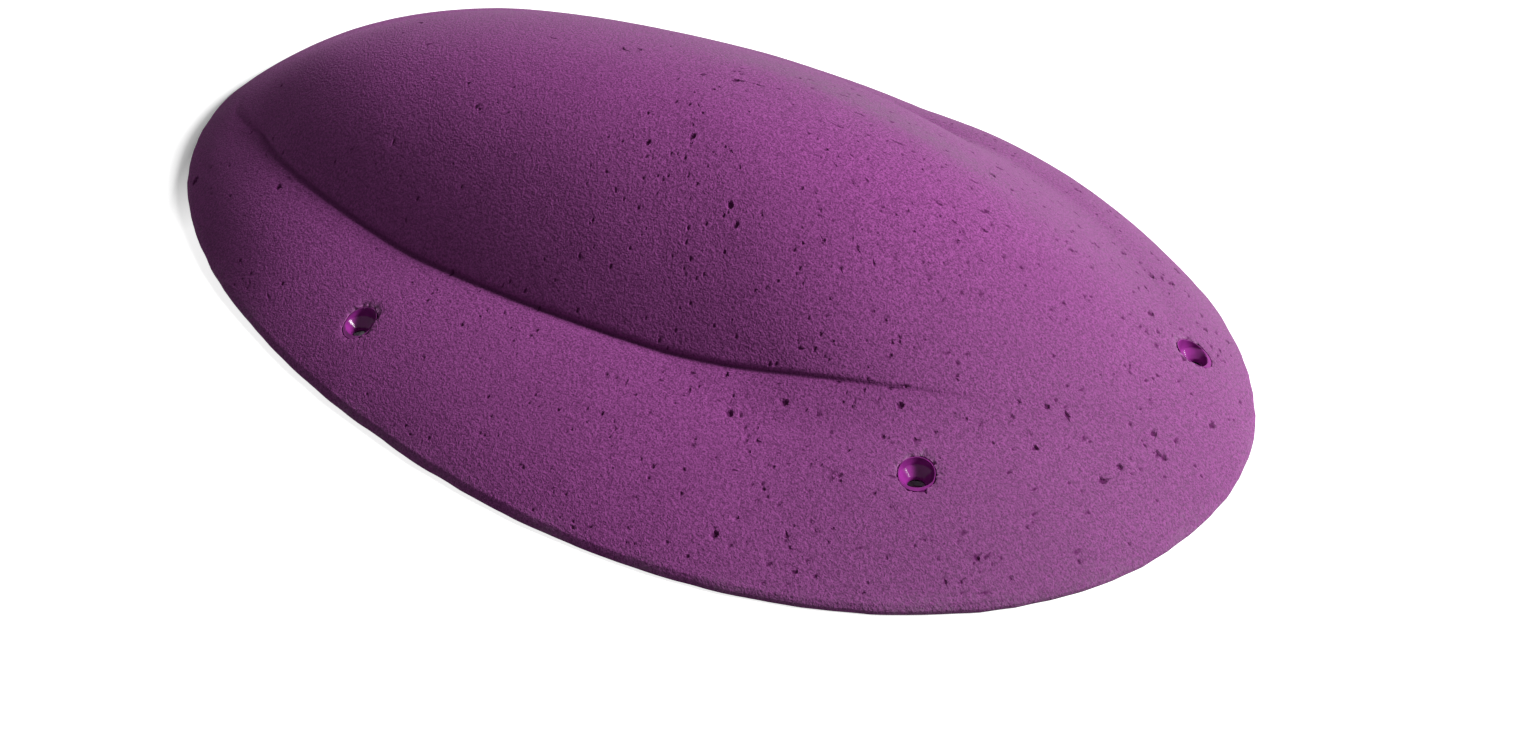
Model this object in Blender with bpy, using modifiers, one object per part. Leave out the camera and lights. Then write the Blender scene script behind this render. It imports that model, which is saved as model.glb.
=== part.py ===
"""A climbing volume: one hollow cast shell held to a wall by countersunk screws round its edge.

Metres, +Z up. The wall face lies at z = 0 with the origin at its middle. +X runs along the length towards
the broad end, and the fold under the raised lobe runs along the -Y side.
"""

import math

import bmesh
import bpy

# Outline of the wall face: an egg with its broad end towards +X
HALF_LENGTH = 0.238
HALF_WIDTH = 0.150
OUTLINE_POWER = 2.12
OUTLINE_EGG = 0.052

# Body: the low dome that the lobe stands on, which slopes more evenly along the front and the back
RIM_HEIGHT = 0.003
BODY_RISE = 0.0369
BODY_POWER = 5.92
FRONT_POWER = 3.59
FRONT_FROM = math.radians(210)
FRONT_TO = math.radians(350)
FRONT_FADE = math.radians(30)
BACK_POWER = 4.32
BACK_FROM = math.radians(55)
BACK_TO = math.radians(170)
BACK_FADE = math.radians(35)
LENGTH_TILT = -0.018
WIDTH_TILT = 0.110

# Lobe: its foot is a ring set in from the outline by the width of the apron on each side
APRON_LEFT = 0.0368
APRON_RIGHT = 0.0416
APRON_FRONT = 0.0631
APRON_BACK = 0.0611
LOBE_TURN = math.radians(8.5)
LOBE_OUTLINE_POWER = 2.07
LOBE_EGG = 0.018
LOBE_RISE = 0.0508
LOBE_TILT = 0.127
LOBE_LEAN = -0.093
LOBE_EDGE = 40
FOLD_POWER = 2.05
MERGE_POWER = 2.41
MERGE_FADE = 1.70
MERGE_SPREAD = 0.31

# The lobe stands steep at its foot between two angles about its middle, and fades out towards both
FOLD_FROM = math.radians(45)
FOLD_TO = math.radians(357)
FOLD_FADE_LEFT = math.radians(45)
FOLD_FADE_RIGHT = math.radians(51)

# The fold at that foot is a sharp line along the front, and rounded out elsewhere
LINE_FROM = math.radians(183)
LINE_TO = math.radians(357)
LINE_FADE_LEFT = math.radians(14)
LINE_FADE_RIGHT = math.radians(20)
FOLD_ROUNDING = 0.10
LEAST_ROUNDING = 0.002

# Scoop: a shallow hollow along the back of the lobe's foot
SCOOP_DEPTH = 0.006
SCOOP_SPREAD = 0.16
SCOOP_AT = 0.98
SCOOP_FROM = math.radians(48)
SCOOP_TO = math.radians(118)
SCOOP_FADE = math.radians(28)

# Casting: the shell's wall, its flat rim, and the ribs inside
WALL = 0.009
RIM_WIDTH = 0.018
LEAST_HOLLOW = 0.003
RIB_THICKNESS = 0.008
CROSS_RIBS_AT = (-0.095, 0.085)

# Screw stations: the angle about the origin, and how far the axis lies inside the outline
STATIONS = {
    "front_left": (math.radians(246.9), 0.0243),
    "front_right": (math.radians(339.3), 0.0464),
    "right_end": (math.radians(18.5), 0.0245),
    "back_right": (math.radians(84.0), 0.0140),
    "back_left": (math.radians(150.0), 0.0140),
}

# Screw seat: a countersunk sleeve that follows the surface, over a washer that is cast in.
# Its cone starts at a share of the surface's fall across the sleeve.
BORE_RADIUS = 0.00325
SEAT_RADIUS = 0.0063
SEAT_WALL = 0.0014
CONE_START = 0.5
CONE_DEPTH = 0.003
SEAT_FLOOR = 0.0015
SEAT_SINK = 0.0003
WASHER_RADIUS = 0.0085
WASHER_THICKNESS = 0.002
BOSS_RADIUS = 0.015
CLEARANCE = 0.0003

# Steps of the meshes
ROUND_STEPS = 96
LOBE_RINGS = 15
APRON_RINGS = 9
HOLLOW_STEPS = 64
HOLLOW_RINGS = 10
TURNED_STEPS = 24
SLOPE_STEP = 0.0005
OVERSHOOT = 0.02
WELD = 0.000001


def egg_radius(angle, half_x, half_y, power, egg):
    """Distance from an egg's middle to its outline at an angle."""
    across = math.cos(angle)
    side = half_y * (1 + egg * across)
    return (abs(across / half_x) ** power + abs(math.sin(angle) / side) ** power) ** (-1 / power)


def outline_radius(angle):
    return egg_radius(angle, HALF_LENGTH, HALF_WIDTH, OUTLINE_POWER, OUTLINE_EGG)


def lobe_radius(angle):
    """Distance from the lobe's middle to its foot."""
    half_x = HALF_LENGTH - (APRON_LEFT + APRON_RIGHT) / 2
    half_y = HALF_WIDTH - (APRON_FRONT + APRON_BACK) / 2
    return egg_radius(angle - LOBE_TURN, half_x, half_y, LOBE_OUTLINE_POWER, LOBE_EGG)


def lobe_middle():
    return (APRON_LEFT - APRON_RIGHT) / 2, (APRON_FRONT - APRON_BACK) / 2


def eased(share):
    share = min(max(share, 0), 1)
    return share * share * (3 - 2 * share)


def window(angle, start, end, fade_in, fade_out):
    """1 between two angles, easing to 0 inside both ends."""
    turn = (angle - start) % math.tau
    span = (end - start) % math.tau
    if turn > span:
        return 0
    return eased(turn / fade_in) * eased((span - turn) / fade_out)


def outline_share(x, y):
    """0 at the origin and 1 on the outline."""
    return min(math.hypot(x, y) / outline_radius(math.atan2(y, x)), 1)


def body_height(x, y):
    angle = math.atan2(y, x)
    front = window(angle, FRONT_FROM, FRONT_TO, FRONT_FADE, FRONT_FADE)
    back = window(angle, BACK_FROM, BACK_TO, BACK_FADE, BACK_FADE)
    power = BODY_POWER + (FRONT_POWER - BODY_POWER) * front + (BACK_POWER - BODY_POWER) * back
    tilt = 1 + LENGTH_TILT * x / HALF_LENGTH + WIDTH_TILT * y / HALF_WIDTH
    return RIM_HEIGHT + BODY_RISE * (1 - outline_share(x, y) ** power) * tilt


def folded_rise(angle, reach):
    """Share of the lobe's rise where it stands steep, with its foot rounded out away from the sharp line."""
    line = window(angle, LINE_FROM, LINE_TO, LINE_FADE_LEFT, LINE_FADE_RIGHT)
    rounding = max(FOLD_ROUNDING * (1 - line), LEAST_ROUNDING)
    rise = 1 - reach**FOLD_POWER
    return max(rise, 0) + rounding * math.log1p(math.exp(-abs(rise) / rounding))


def lobe_height(x, y, folded):
    """Height of the lobe above the body: steep at the fold where it is folded, and merging elsewhere."""
    middle_x, middle_y = lobe_middle()
    angle = math.atan2(y - middle_y, x - middle_x)
    reach = math.hypot(x - middle_x, y - middle_y) / lobe_radius(angle)
    edge = outline_share(x, y)
    spread = min(reach ** (1 - MERGE_SPREAD) * edge**MERGE_SPREAD, 1)
    fold = folded * window(angle, FOLD_FROM, FOLD_TO, FOLD_FADE_LEFT, FOLD_FADE_RIGHT)
    rise = fold * folded_rise(angle, reach) + (1 - fold) * (1 - spread**MERGE_POWER) ** MERGE_FADE
    scoop = window(angle, SCOOP_FROM, SCOOP_TO, SCOOP_FADE, SCOOP_FADE)
    dip = math.exp(-(((reach - SCOOP_AT) / SCOOP_SPREAD) ** 2))
    tilt = 1 + LOBE_TILT * (x - middle_x) / HALF_LENGTH + LOBE_LEAN * (y - middle_y) / HALF_WIDTH
    return LOBE_RISE * rise * (1 - edge**LOBE_EDGE) * tilt - SCOOP_DEPTH * scoop * dip


def height(x, y, folded=1):
    """Height of the casting's outer surface, or of the plain dome inside it where nothing is folded."""
    return body_height(x, y) + lobe_height(x, y, folded)


def slope(x, y, folded=1):
    """Steepness of that surface, as rise over run."""
    along = height(x + SLOPE_STEP, y, folded) - height(x - SLOPE_STEP, y, folded)
    across = height(x, y + SLOPE_STEP, folded) - height(x, y - SLOPE_STEP, folded)
    return math.hypot(along, across) / (2 * SLOPE_STEP)


def outer_point(angle, ring):
    """A point of the outer surface: the rings run from the lobe's middle over its foot to the wall face."""
    middle_x, middle_y = lobe_middle()
    foot = lobe_radius(angle)
    foot_x = middle_x + foot * math.cos(angle)
    foot_y = middle_y + foot * math.sin(angle)
    if ring <= LOBE_RINGS:
        share = math.sin(math.pi / 2 * ring / LOBE_RINGS)
        x = middle_x + share * (foot_x - middle_x)
        y = middle_y + share * (foot_y - middle_y)
        return x, y, height(x, y)
    share = min((ring - LOBE_RINGS) / APRON_RINGS, 1)
    share = 1 - (1 - share) ** 1.5
    edge = outline_radius(angle)
    x = foot_x + share * (edge * math.cos(angle) - foot_x)
    y = foot_y + share * (edge * math.sin(angle) - foot_y)
    if ring > LOBE_RINGS + APRON_RINGS:
        return x, y, 0
    return x, y, RIM_HEIGHT if share == 1 else height(x, y)


def hollow_point(angle, ring):
    """A point of the hollow's ceiling: the rings run from the origin to the rim's inner edge and down."""
    edge = outline_radius(angle) - RIM_WIDTH
    share = min(ring / HOLLOW_RINGS, 1)
    x = share * edge * math.cos(angle)
    y = share * edge * math.sin(angle)
    if ring > HOLLOW_RINGS:
        return x, y, -OVERSHOOT
    wall = WALL * math.hypot(1, slope(x, y, 0))
    return x, y, max(height(x, y, 0) - wall, LEAST_HOLLOW)


def new_object(name, mesh, collection, colour=None, roughness=0.5, metallic=0.0):
    """An object of this mesh: a part with its own material, or a cutter where no colour is given."""
    made = bpy.data.objects.new(name, mesh)
    collection.objects.link(made)
    if colour is None:
        made.hide_render = True
        made.display_type = "WIRE"
        return made
    material = bpy.data.materials.new(name)
    material.use_nodes = True
    shader = material.node_tree.nodes["Principled BSDF"]
    shader.inputs["Base Color"].default_value = (*colour, 1)
    shader.inputs["Roughness"].default_value = roughness
    shader.inputs["Metallic"].default_value = metallic
    mesh.materials.append(material)
    return made


def shade_round(mesh):
    mesh.shade_smooth()
    mesh.set_sharp_from_angle(angle=math.radians(35))


def ringed_mesh(name, point, steps, rings):
    """A closed mesh from a grid that is wrapped round: its last ring is filled flat."""
    grid = bmesh.new()
    bmesh.ops.create_grid(grid, x_segments=steps, y_segments=rings, size=0.5)
    for vertex in grid.verts:
        angle = (vertex.co.x + 0.5) * math.tau
        ring = round((vertex.co.y + 0.5) * rings)
        vertex.co = point(angle, ring)
    bmesh.ops.remove_doubles(grid, verts=grid.verts, dist=WELD)
    bmesh.ops.holes_fill(grid, edges=[edge for edge in grid.edges if edge.is_boundary], sides=0)
    bmesh.ops.recalc_face_normals(grid, faces=grid.faces)
    bent = [face for face in grid.faces if len(face.verts) == 4]
    bmesh.ops.triangulate(grid, faces=bent)
    mesh = bpy.data.meshes.new(name)
    grid.to_mesh(mesh)
    grid.free()
    shade_round(mesh)
    return mesh


def turn(turned, steps=TURNED_STEPS):
    """Turns a profile about its object's Z axis."""
    screw = turned.modifiers.new("turned", "SCREW")
    screw.angle = math.tau
    screw.steps = steps
    screw.render_steps = steps
    screw.use_merge_vertices = True
    screw.merge_threshold = WELD
    screw.use_smooth_shade = False


def profile_mesh(name, points, closed):
    """A profile of radius and height, read down its outer side."""
    count = len(points)
    edges = [(i, (i + 1) % count) for i in range(count if closed else count - 1)]
    mesh = bpy.data.meshes.new(name)
    mesh.from_pydata([(radius, 0, z) for radius, z in points], edges, [])
    return mesh


def combine(target, operation, other):
    """A Boolean of the target with another object."""
    boolean = target.modifiers.new(other.name, "BOOLEAN")
    boolean.operation = operation
    boolean.object = other


def box(name, size, place, collection):
    """A box cutter with its middle at a place."""
    cube = bmesh.new()
    bmesh.ops.create_cube(cube, size=1)
    bmesh.ops.scale(cube, vec=size, verts=cube.verts)
    mesh = bpy.data.meshes.new(name)
    cube.to_mesh(mesh)
    cube.free()
    made = new_object(name, mesh, collection)
    made.location = place
    return made


class Station:
    """One screw station: where its axis stands and the heights of what is stacked on it."""

    def __init__(self, name):
        angle, inset = STATIONS[name]
        reach = outline_radius(angle) - inset
        self.name = name
        self.x = reach * math.cos(angle)
        self.y = reach * math.sin(angle)
        tilt = slope(self.x, self.y) * (SEAT_RADIUS + SEAT_WALL)
        self.surface = height(self.x, self.y)
        self.top = self.surface + tilt + OVERSHOOT / 4
        self.cone_top = self.surface - CONE_START * tilt - SEAT_SINK
        self.cone_foot = self.cone_top - CONE_DEPTH
        self.foot = self.cone_foot - SEAT_FLOOR
        self.washer_top = self.foot - CLEARANCE
        self.washer_foot = self.washer_top - WASHER_THICKNESS

    def place(self, made):
        made.location = (self.x, self.y, 0)
        return made


def hollow(cutters):
    """The cutter of the open back, which leaves the ribs and the screw bosses standing."""
    mesh = ringed_mesh("hollow", hollow_point, HOLLOW_STEPS, HOLLOW_RINGS + 1)
    made = new_object("hollow", mesh, cutters)
    tall = 2 * (BODY_RISE + LOBE_RISE + 2 * OVERSHOOT)
    long_rib = (2 * HALF_LENGTH, RIB_THICKNESS, tall)
    combine(made, "DIFFERENCE", box("long_rib", long_rib, (0, 0, 0), cutters))
    cross_rib = (RIB_THICKNESS, 3 * HALF_WIDTH, tall)
    for number, x in enumerate(CROSS_RIBS_AT, 1):
        name = f"cross_rib_{number}"
        combine(made, "DIFFERENCE", box(name, cross_rib, (x, 0, 0), cutters))
    return made


def boss(station, cutters):
    """The solid column round a screw, from the wall face up into the shell."""
    name = f"boss_{station.name}"
    low = -2 * OVERSHOOT
    points = [(0, station.top), (BOSS_RADIUS, station.top), (BOSS_RADIUS, low), (0, low)]
    made = new_object(name, profile_mesh(name, points, False), cutters)
    turn(made)
    return station.place(made)


def station_hole(station, cutters):
    """The cutter of one station: the seat's recess, the washer's pocket and the bore below them."""
    name = f"hole_{station.name}"
    recess = SEAT_RADIUS + SEAT_WALL + CLEARANCE
    pocket = WASHER_RADIUS + CLEARANCE
    pocket_foot = station.washer_foot - CLEARANCE
    points = [
        (0, station.top),
        (recess, station.top),
        (recess, station.foot),
        (pocket, station.foot),
        (pocket, pocket_foot),
        (BORE_RADIUS, pocket_foot),
        (BORE_RADIUS, -OVERSHOOT),
        (0, -OVERSHOOT),
    ]
    made = new_object(name, profile_mesh(name, points, False), cutters)
    turn(made)
    return station.place(made)


def casting(stations, parts, cutters):
    """The shell: a purple casting with a gritty skin."""
    mesh = ringed_mesh("shell", outer_point, ROUND_STEPS, LOBE_RINGS + APRON_RINGS + 1)
    made = new_object("shell", mesh, parts, (0.19, 0.05, 0.17), 0.85)
    core = hollow(cutters)
    for station in stations:
        combine(core, "DIFFERENCE", boss(station, cutters))
    combine(made, "DIFFERENCE", core)
    for station in stations:
        combine(made, "DIFFERENCE", station_hole(station, cutters))
    return made


def seat_trim(cutters):
    """The outer surface a little lower, which trims the top of every seat."""
    mesh = ringed_mesh("seat_trim", outer_point, ROUND_STEPS, LOBE_RINGS + APRON_RINGS + 1)
    made = new_object("seat_trim", mesh, cutters)
    made.location.z = -SEAT_SINK
    return made


def screw_seat(station, trim, parts):
    """A smooth, glossy sleeve with a cone for the screw's head."""
    name = f"screw_seat_{station.name}"
    outer = SEAT_RADIUS + SEAT_WALL
    points = [
        (SEAT_RADIUS, station.top),
        (outer, station.top),
        (outer, station.foot + CLEARANCE),
        (BORE_RADIUS, station.foot + CLEARANCE),
        (BORE_RADIUS, station.cone_foot),
        (SEAT_RADIUS, station.cone_top),
    ]
    mesh = profile_mesh(name, points, True)
    made = new_object(name, mesh, parts, (0.30, 0.05, 0.28), 0.25)
    turn(made)
    station.place(made)
    combine(made, "INTERSECT", trim)
    return made


def washer(station, parts):
    """The steel washer that spreads the screw's load in the casting."""
    name = f"washer_{station.name}"
    points = [
        (BORE_RADIUS, station.washer_top),
        (WASHER_RADIUS, station.washer_top),
        (WASHER_RADIUS, station.washer_foot),
        (BORE_RADIUS, station.washer_foot),
    ]
    mesh = profile_mesh(name, points, True)
    made = new_object(name, mesh, parts, (0.55, 0.56, 0.58), 0.35, 1.0)
    turn(made)
    return station.place(made)


def main():
    for old in list(bpy.data.objects):
        bpy.data.objects.remove(old)
    parts = bpy.data.collections.new("climbing_volume")
    cutters = bpy.data.collections.new("cutters")
    bpy.context.scene.collection.children.link(parts)
    bpy.context.scene.collection.children.link(cutters)
    stations = [Station(name) for name in STATIONS]
    casting(stations, parts, cutters)
    trim = seat_trim(cutters)
    for station in stations:
        screw_seat(station, trim, parts)
        washer(station, parts)


main()
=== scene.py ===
"""The looks of a climbing volume: its gritty casting, and the glossy seats of its screws."""

import math
import random
from collections import namedtuple

import bmesh
import bpy
import numpy as np
from bpy.props import FloatProperty, FloatVectorProperty, IntProperty, PointerProperty
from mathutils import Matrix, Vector, kdtree, noise


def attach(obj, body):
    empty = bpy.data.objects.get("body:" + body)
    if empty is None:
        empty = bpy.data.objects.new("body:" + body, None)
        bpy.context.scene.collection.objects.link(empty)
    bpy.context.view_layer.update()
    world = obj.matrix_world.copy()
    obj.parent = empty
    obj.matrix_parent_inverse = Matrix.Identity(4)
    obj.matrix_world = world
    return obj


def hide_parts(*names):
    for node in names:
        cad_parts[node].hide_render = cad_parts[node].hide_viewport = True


bl_info = {
    "name": "Climbing Volume",
    "version": (1, 0, 0),
    "blender": (4, 5, 0),
    "location": "View3D > Sidebar > Volume",
    "description": "Models the skin and the screw seats of a cast climbing volume",
    "category": "Object",
}

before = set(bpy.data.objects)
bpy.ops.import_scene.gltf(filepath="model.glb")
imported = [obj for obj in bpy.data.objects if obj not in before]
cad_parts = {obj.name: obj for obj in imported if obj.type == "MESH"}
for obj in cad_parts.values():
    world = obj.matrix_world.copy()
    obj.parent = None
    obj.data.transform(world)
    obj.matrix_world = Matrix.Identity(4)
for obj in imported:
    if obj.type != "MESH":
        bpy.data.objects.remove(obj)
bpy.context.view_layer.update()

# Outline of the wall face
HALF_LENGTH = 0.238
HALF_WIDTH = 0.150
OUTLINE_POWER = 2.12
OUTLINE_EGG = 0.052

# Body: the low dome that the lobe stands on, which slopes more evenly along the front and back
RIM_HEIGHT = 0.003
BODY_RISE = 0.0369
BODY_POWER = 5.92
FRONT_POWER = 3.59
FRONT_FROM = math.radians(210)
FRONT_TO = math.radians(350)
FRONT_FADE = math.radians(30)
BACK_POWER = 4.32
BACK_FROM = math.radians(55)
BACK_TO = math.radians(170)
BACK_FADE = math.radians(35)
LENGTH_TILT = -0.018
WIDTH_TILT = 0.110

# Lobe: the apron's widths set its foot, and its fold fades out at both ends
APRON_LEFT = 0.0368
APRON_RIGHT = 0.0416
APRON_FRONT = 0.0631
APRON_BACK = 0.0611
LOBE_X = (APRON_LEFT - APRON_RIGHT) / 2
LOBE_Y = (APRON_FRONT - APRON_BACK) / 2
LOBE_HALF_LENGTH = HALF_LENGTH - (APRON_LEFT + APRON_RIGHT) / 2
LOBE_HALF_WIDTH = HALF_WIDTH - (APRON_FRONT + APRON_BACK) / 2
LOBE_TURN = math.radians(8.5)
LOBE_OUTLINE_POWER = 2.07
LOBE_EGG = 0.018
LOBE_RISE = 0.0508
LOBE_TILT = 0.127
LOBE_LEAN = -0.093
LOBE_EDGE = 40
FOLD_POWER = 2.05
MERGE_POWER = 2.41
MERGE_FADE = 1.70
MERGE_SPREAD = 0.31
FOLD_FROM = math.radians(45)
FOLD_TO = math.radians(357)
FOLD_FADE_LEFT = math.radians(45)
FOLD_FADE_RIGHT = math.radians(51)

# Fold line: sharp along the front, and rounded out elsewhere. It starts 10 degrees after the
# CAD's, so that the line fades out before the left tip.
LINE_FROM = math.radians(193)
LINE_TO = math.radians(357)
LINE_FADE_LEFT = math.radians(14)
LINE_FADE_RIGHT = math.radians(20)
FOLD_ROUNDING = 0.10
LEAST_ROUNDING = 0.002

# Scoop along the back of the lobe's foot
SCOOP_DEPTH = 0.006
SCOOP_SPREAD = 0.16
SCOOP_AT = 0.98
SCOOP_FROM = math.radians(48)
SCOOP_TO = math.radians(118)
SCOOP_FADE = math.radians(28)

# Casting behind the skin
WALL = 0.009
RIM_WIDTH = 0.018
LEAST_HOLLOW = 0.003
RIB_THICKNESS = 0.008
CROSS_RIBS_AT = (-0.095, 0.085)
BOSS_RADIUS = 0.015

# Screw stations: the angle about the origin, and how far the axis lies inside the outline
STATIONS = {
    "front_left": (math.radians(246.9), 0.0243),
    "front_right": (math.radians(339.3), 0.0464),
    "right_end": (math.radians(18.5), 0.0245),
    "back_right": (math.radians(84.0), 0.0140),
    "back_left": (math.radians(150.0), 0.0140),
}

# Screw seat and the washer that is cast in below it
BORE_RADIUS = 0.00325
SEAT_OUTER = 0.0077
CONE_START = 0.5
CONE_DEPTH = 0.003
SEAT_FLOOR = 0.0015
SEAT_SINK = 0.0003
WASHER_RADIUS = 0.0085
WASHER_THICKNESS = 0.002
CLEARANCE = 0.0003

# Sleeve of a seat: its straight part ends above the cone, with a small ledge between them
SLEEVE_FOOT = 0.0002
CONE_LEDGE = 0.0001
CONE_RINGS = 9
SEAT_STEPS = 72

# Rim: the flank's rounding and its rings, as inset and height
RIM_ROUND = 0.0012
RIM_RINGS = ((0.00035, 0.0026), (0.0, 0.0019), (0.0, 0.0007), (0.0004, 0.0))

# Slots of the casting's mesh: the gritty skin, and the raw resin behind it
SKIN_SLOT = 0
BACK_SLOT = 1

# Coarse mesh of the casting, and the cutters, which reach past what they cut
SURFACE_STEP = 0.0005
MERGE_DISTANCE = 1e-6
APRON_CROWDING = 1.5
HOLLOW_STEPS = 96
HOLLOW_RINGS = 14
HOLLOW_FOOT = -0.02
RIB_CUT = (3 * HALF_LENGTH, 3 * HALF_WIDTH, 0.4)
BOSS_CUT = (-0.04, 0.1)
BOSS_STEPS = 48
HOLE_STEPS = 40
PAST_SKIN = 0.02
PAST_WALL_FACE = -0.01

# Fine mesh of the skin: split evenly, then further near pits, in radii and in shares of an
# edge, and round the holes
EVEN_CUTS = 3
FINE_PASSES = 2
FINEST_EDGE = 0.0004
NEAR_PIT = 1.5
NEAR_EDGE = 0.3
NEAR_HOLE = 0.0085
SHARP_SKIN = 32
SHARP_SEAT = 50

# Undercut line of the fold: where it is deep, about the lobe's middle, and how far it runs
# straight on at the left
CREASE_FROM = math.radians(190)
CREASE_TO = math.radians(356)
CREASE_FADE_LEFT = math.radians(14)
CREASE_FADE_RIGHT = math.radians(22)
CREASE_AT = 0.994
CREASE_SPREAD = 0.007
CREASE_TURN = math.radians(204)
CREASE_STRAY = 0.07
CREASE_STRAY_FADE = math.radians(10)

# Scatter of the pits: how often a place takes one, more so towards the right and in clusters
PIT_EDGE = 0.985
PIT_CHANCE = 0.09
PIT_CHANCE_RIGHT = 0.6
PIT_RIGHT_FROM = -0.05
PIT_RIGHT_FADE = 0.12
PIT_CHANCE_CLUSTER = 0.45
PIT_CLUSTERS = 28
PIT_CLUSTER_LEVEL = 3.0

# Form of a pit: its radius, how much larger a few of them are, its length and its ragged edge
PIT_RADIUS = 0.00026
PIT_RADIUS_SPREAD = 0.00028
PIT_WIDE_CHANCE = 0.07
PIT_WIDE = 0.0007
PIT_LONGEST = 1.45
PIT_REACH = 3
PIT_BROADER = 1.25
PIT_RAGGED = 0.4
PIT_RAGGED_GRAIN = 1400
PIT_SINK = 0.9
PIT_STEEP = 1.6
# How fast a pit's painted shade deepens towards its bottom
PIT_SHADE = 1.8

# Rim of the skin: where it strays from its outline and wears pale
INSIDE_RIM = 0.95
RIM_FADE = 0.002
RIM_WANDER_SIZE = 0.012
WORN_MOST = 0.6
WORN_SIZE = 0.02

# Lip of a screw hole: how far it crumbles, and its share downhill and where it is whole
LIP_REACH = 0.004
LIP_FADE = 0.0009
LIP_GRAIN = 700
LIP_DOWNHILL = 0.4
LIP_WHOLE = 0.3

# Dust and painted sheen: a greyish bloom on slopes that face its side, away from the camera, where
# it stands in for sheen seen edge-on, on the right shoulder, and less on the left tip. Being
# darker than the skin, it is also painted shade on the brightly lit back and right shoulder. Each
# fade is where it starts and how long it is.
DUST_AND_SHEEN_SIDE = (-0.55, 0.80, 0.10)
DUST_AND_SHEEN_LEAST = 0.06
DUST_AND_SHEEN_AWAY = 0.80
DUST_AND_SHEEN_AWAY_FADE = (-0.15, 0.8)
DUST_AND_SHADE_RIGHT = 0.42
DUST_AND_SHADE_RIGHT_FADE = (0.08, 0.16)
DUST_AND_SHEEN_TIP = 0.6
DUST_AND_SHEEN_TIP_FADE = (0.10, 0.10)

# Dust and painted sheen on a ridge along the lobe's crest, towards the right shoulder
CREST_MIDDLE = (0.055, 0.041)
CREST_SLANT = 0.22
CREST_SPREAD = (0.050, 0.008)
CREST_DUST_AND_SHEEN = 0.60

# Ranges that a value is stretched to
WHOLE = (0.0, 1.0)
FALLING = (1.0, 0.0)

# Gritty skin: pattern sizes, the first two in shares of the grain, then what each noise or
# attribute gives to the colour
SPECKLE_SIZE = 0.55
POWDER_SIZE = 1.6
BLOTCH_SIZE = 0.045
PORE_SIZE = 0.0030
TONE_SPAN = (0.34, 0.62)
SPECKLE_SPAN = (0.32, 0.54)
SPECKLE_SHARE = (0.80, 0.0)
BLOTCH_SPAN = (0.35, 0.65)
BLOTCH_SHARE = (0.0, 0.22)
POWDER_SPAN = (0.35, 0.75)
DUST_AND_SHEEN_SHARE = (0.45, 0.85)
PORE_SPAN = (0.05, 0.16)
PORE_SHARE = 0.6
# How much painted shade lies along the fold's crease
CREASE_SHADE_SHARE = 0.7
SKIN_ROUGHNESS = (0.78, 0.95)
SKIN_SURFACE = {
    "Diffuse Roughness": 0.45,
    "Specular IOR Level": 0.12,
    "Sheen Weight": 0.03,
    "Sheen Roughness": 0.55,
    "Sheen Tint": (0.9, 0.75, 0.88, 1),
}

# Raw resin of the back: its swirls are paler, and its bubbles darker
SWIRL_SIZE = 0.020
SWIRL_SPAN = (0.35, 0.7)
SWIRL_PALE = (1.35, 0.03)
BUBBLE_SIZE = 0.005
BUBBLE_SPAN = (0.06, 0.16)
BUBBLE_SHARE = 0.7
BACK_GRAIN = 0.0016
BACK_ROUGHNESS = (0.5, 0.72)

# Glossy resin of the seats
FLOW_SIZE = 0.004
FLOW_SPAN = (0.35, 0.65)
FLOW_DEEP = 0.72
RIPPLE_SIZE = 0.0025
SEAT_ROUGHNESS = (0.10, 0.17)
SEAT_SURFACE = {"Specular IOR Level": 0.14}

# Steel of the washers
STEEL_GRAIN = 0.0009
STEEL_DARK = (0.46, 0.47, 0.49)
STEEL_PALE = (0.62, 0.63, 0.65)
STEEL_ROUGHNESS = (0.28, 0.45)
STEEL_SURFACE = {"Metallic": 1.0}

# The middle of a noise's values, which tells the rough from the smooth
NOISE_SPAN = (0.3, 0.7)

# Floor: its place and its colours, to the eye, in painted shade under the volume and to light that
# bounces
FLOOR_SIZE = 4.0
FLOOR_DROP = -0.0002
FLOOR_GRAIN = 0.08
FLOOR_DARK = (0.84, 0.84, 0.84)
FLOOR_PALE = (0.88, 0.88, 0.88)
FLOOR_SHADE_UNDER = (0.040, 0.034, 0.030)
FLOOR_BOUNCE = (0.22, 0.22, 0.22)
FLOOR_SURFACE = {"Roughness": 0.9, "Specular IOR Level": 0.1}

# The floor's glow whitens it. It is weak only close round the left tip, between these shares
# of the outline, and is gone under the volume, where only the bores show the floor.
FLOOR_FADE = (1.0, 1.06)
TIP_FADE = (-0.225, -0.170)
FLOOR_GLOW = (0.10, 0.80)
FLOOR_COVERED = (0.955, 0.975)

# Lights: how tall an area light is to its width, and where the one below stands
LIGHT_ASPECT = 0.8
BELOW_FROM = (0.25, -0.35, -1)
BELOW_SIZE = 1.2
BELOW_DISTANCE = 1.5

# Camera: its direction from its aim, and its focal length in the photograph's pixels
CAMERA_TURN = math.radians(41.73)
CAMERA_LIFT = math.radians(36.0)
CAMERA_REACH = 1.1148
CAMERA_AIM = (0.0631, -0.0229, 0.0)
LENS_PIXELS = 3000
PHOTO_WIDTH = 1536
SENSOR_WIDTH = 36

Pit = namedtuple("Pit", "x y radius turn stretch")


def egg_radius(angle, half_x, half_y, power, egg):
    """Distance from an egg's middle to its outline at an angle."""
    across = np.cos(angle)
    side = half_y * (1 + egg * across)
    shares = np.abs(across / half_x) ** power + np.abs(np.sin(angle) / side) ** power
    return shares ** (-1 / power)


def outline_radius(angle):
    """Distance from the origin to the outline."""
    return egg_radius(angle, HALF_LENGTH, HALF_WIDTH, OUTLINE_POWER, OUTLINE_EGG)


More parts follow.
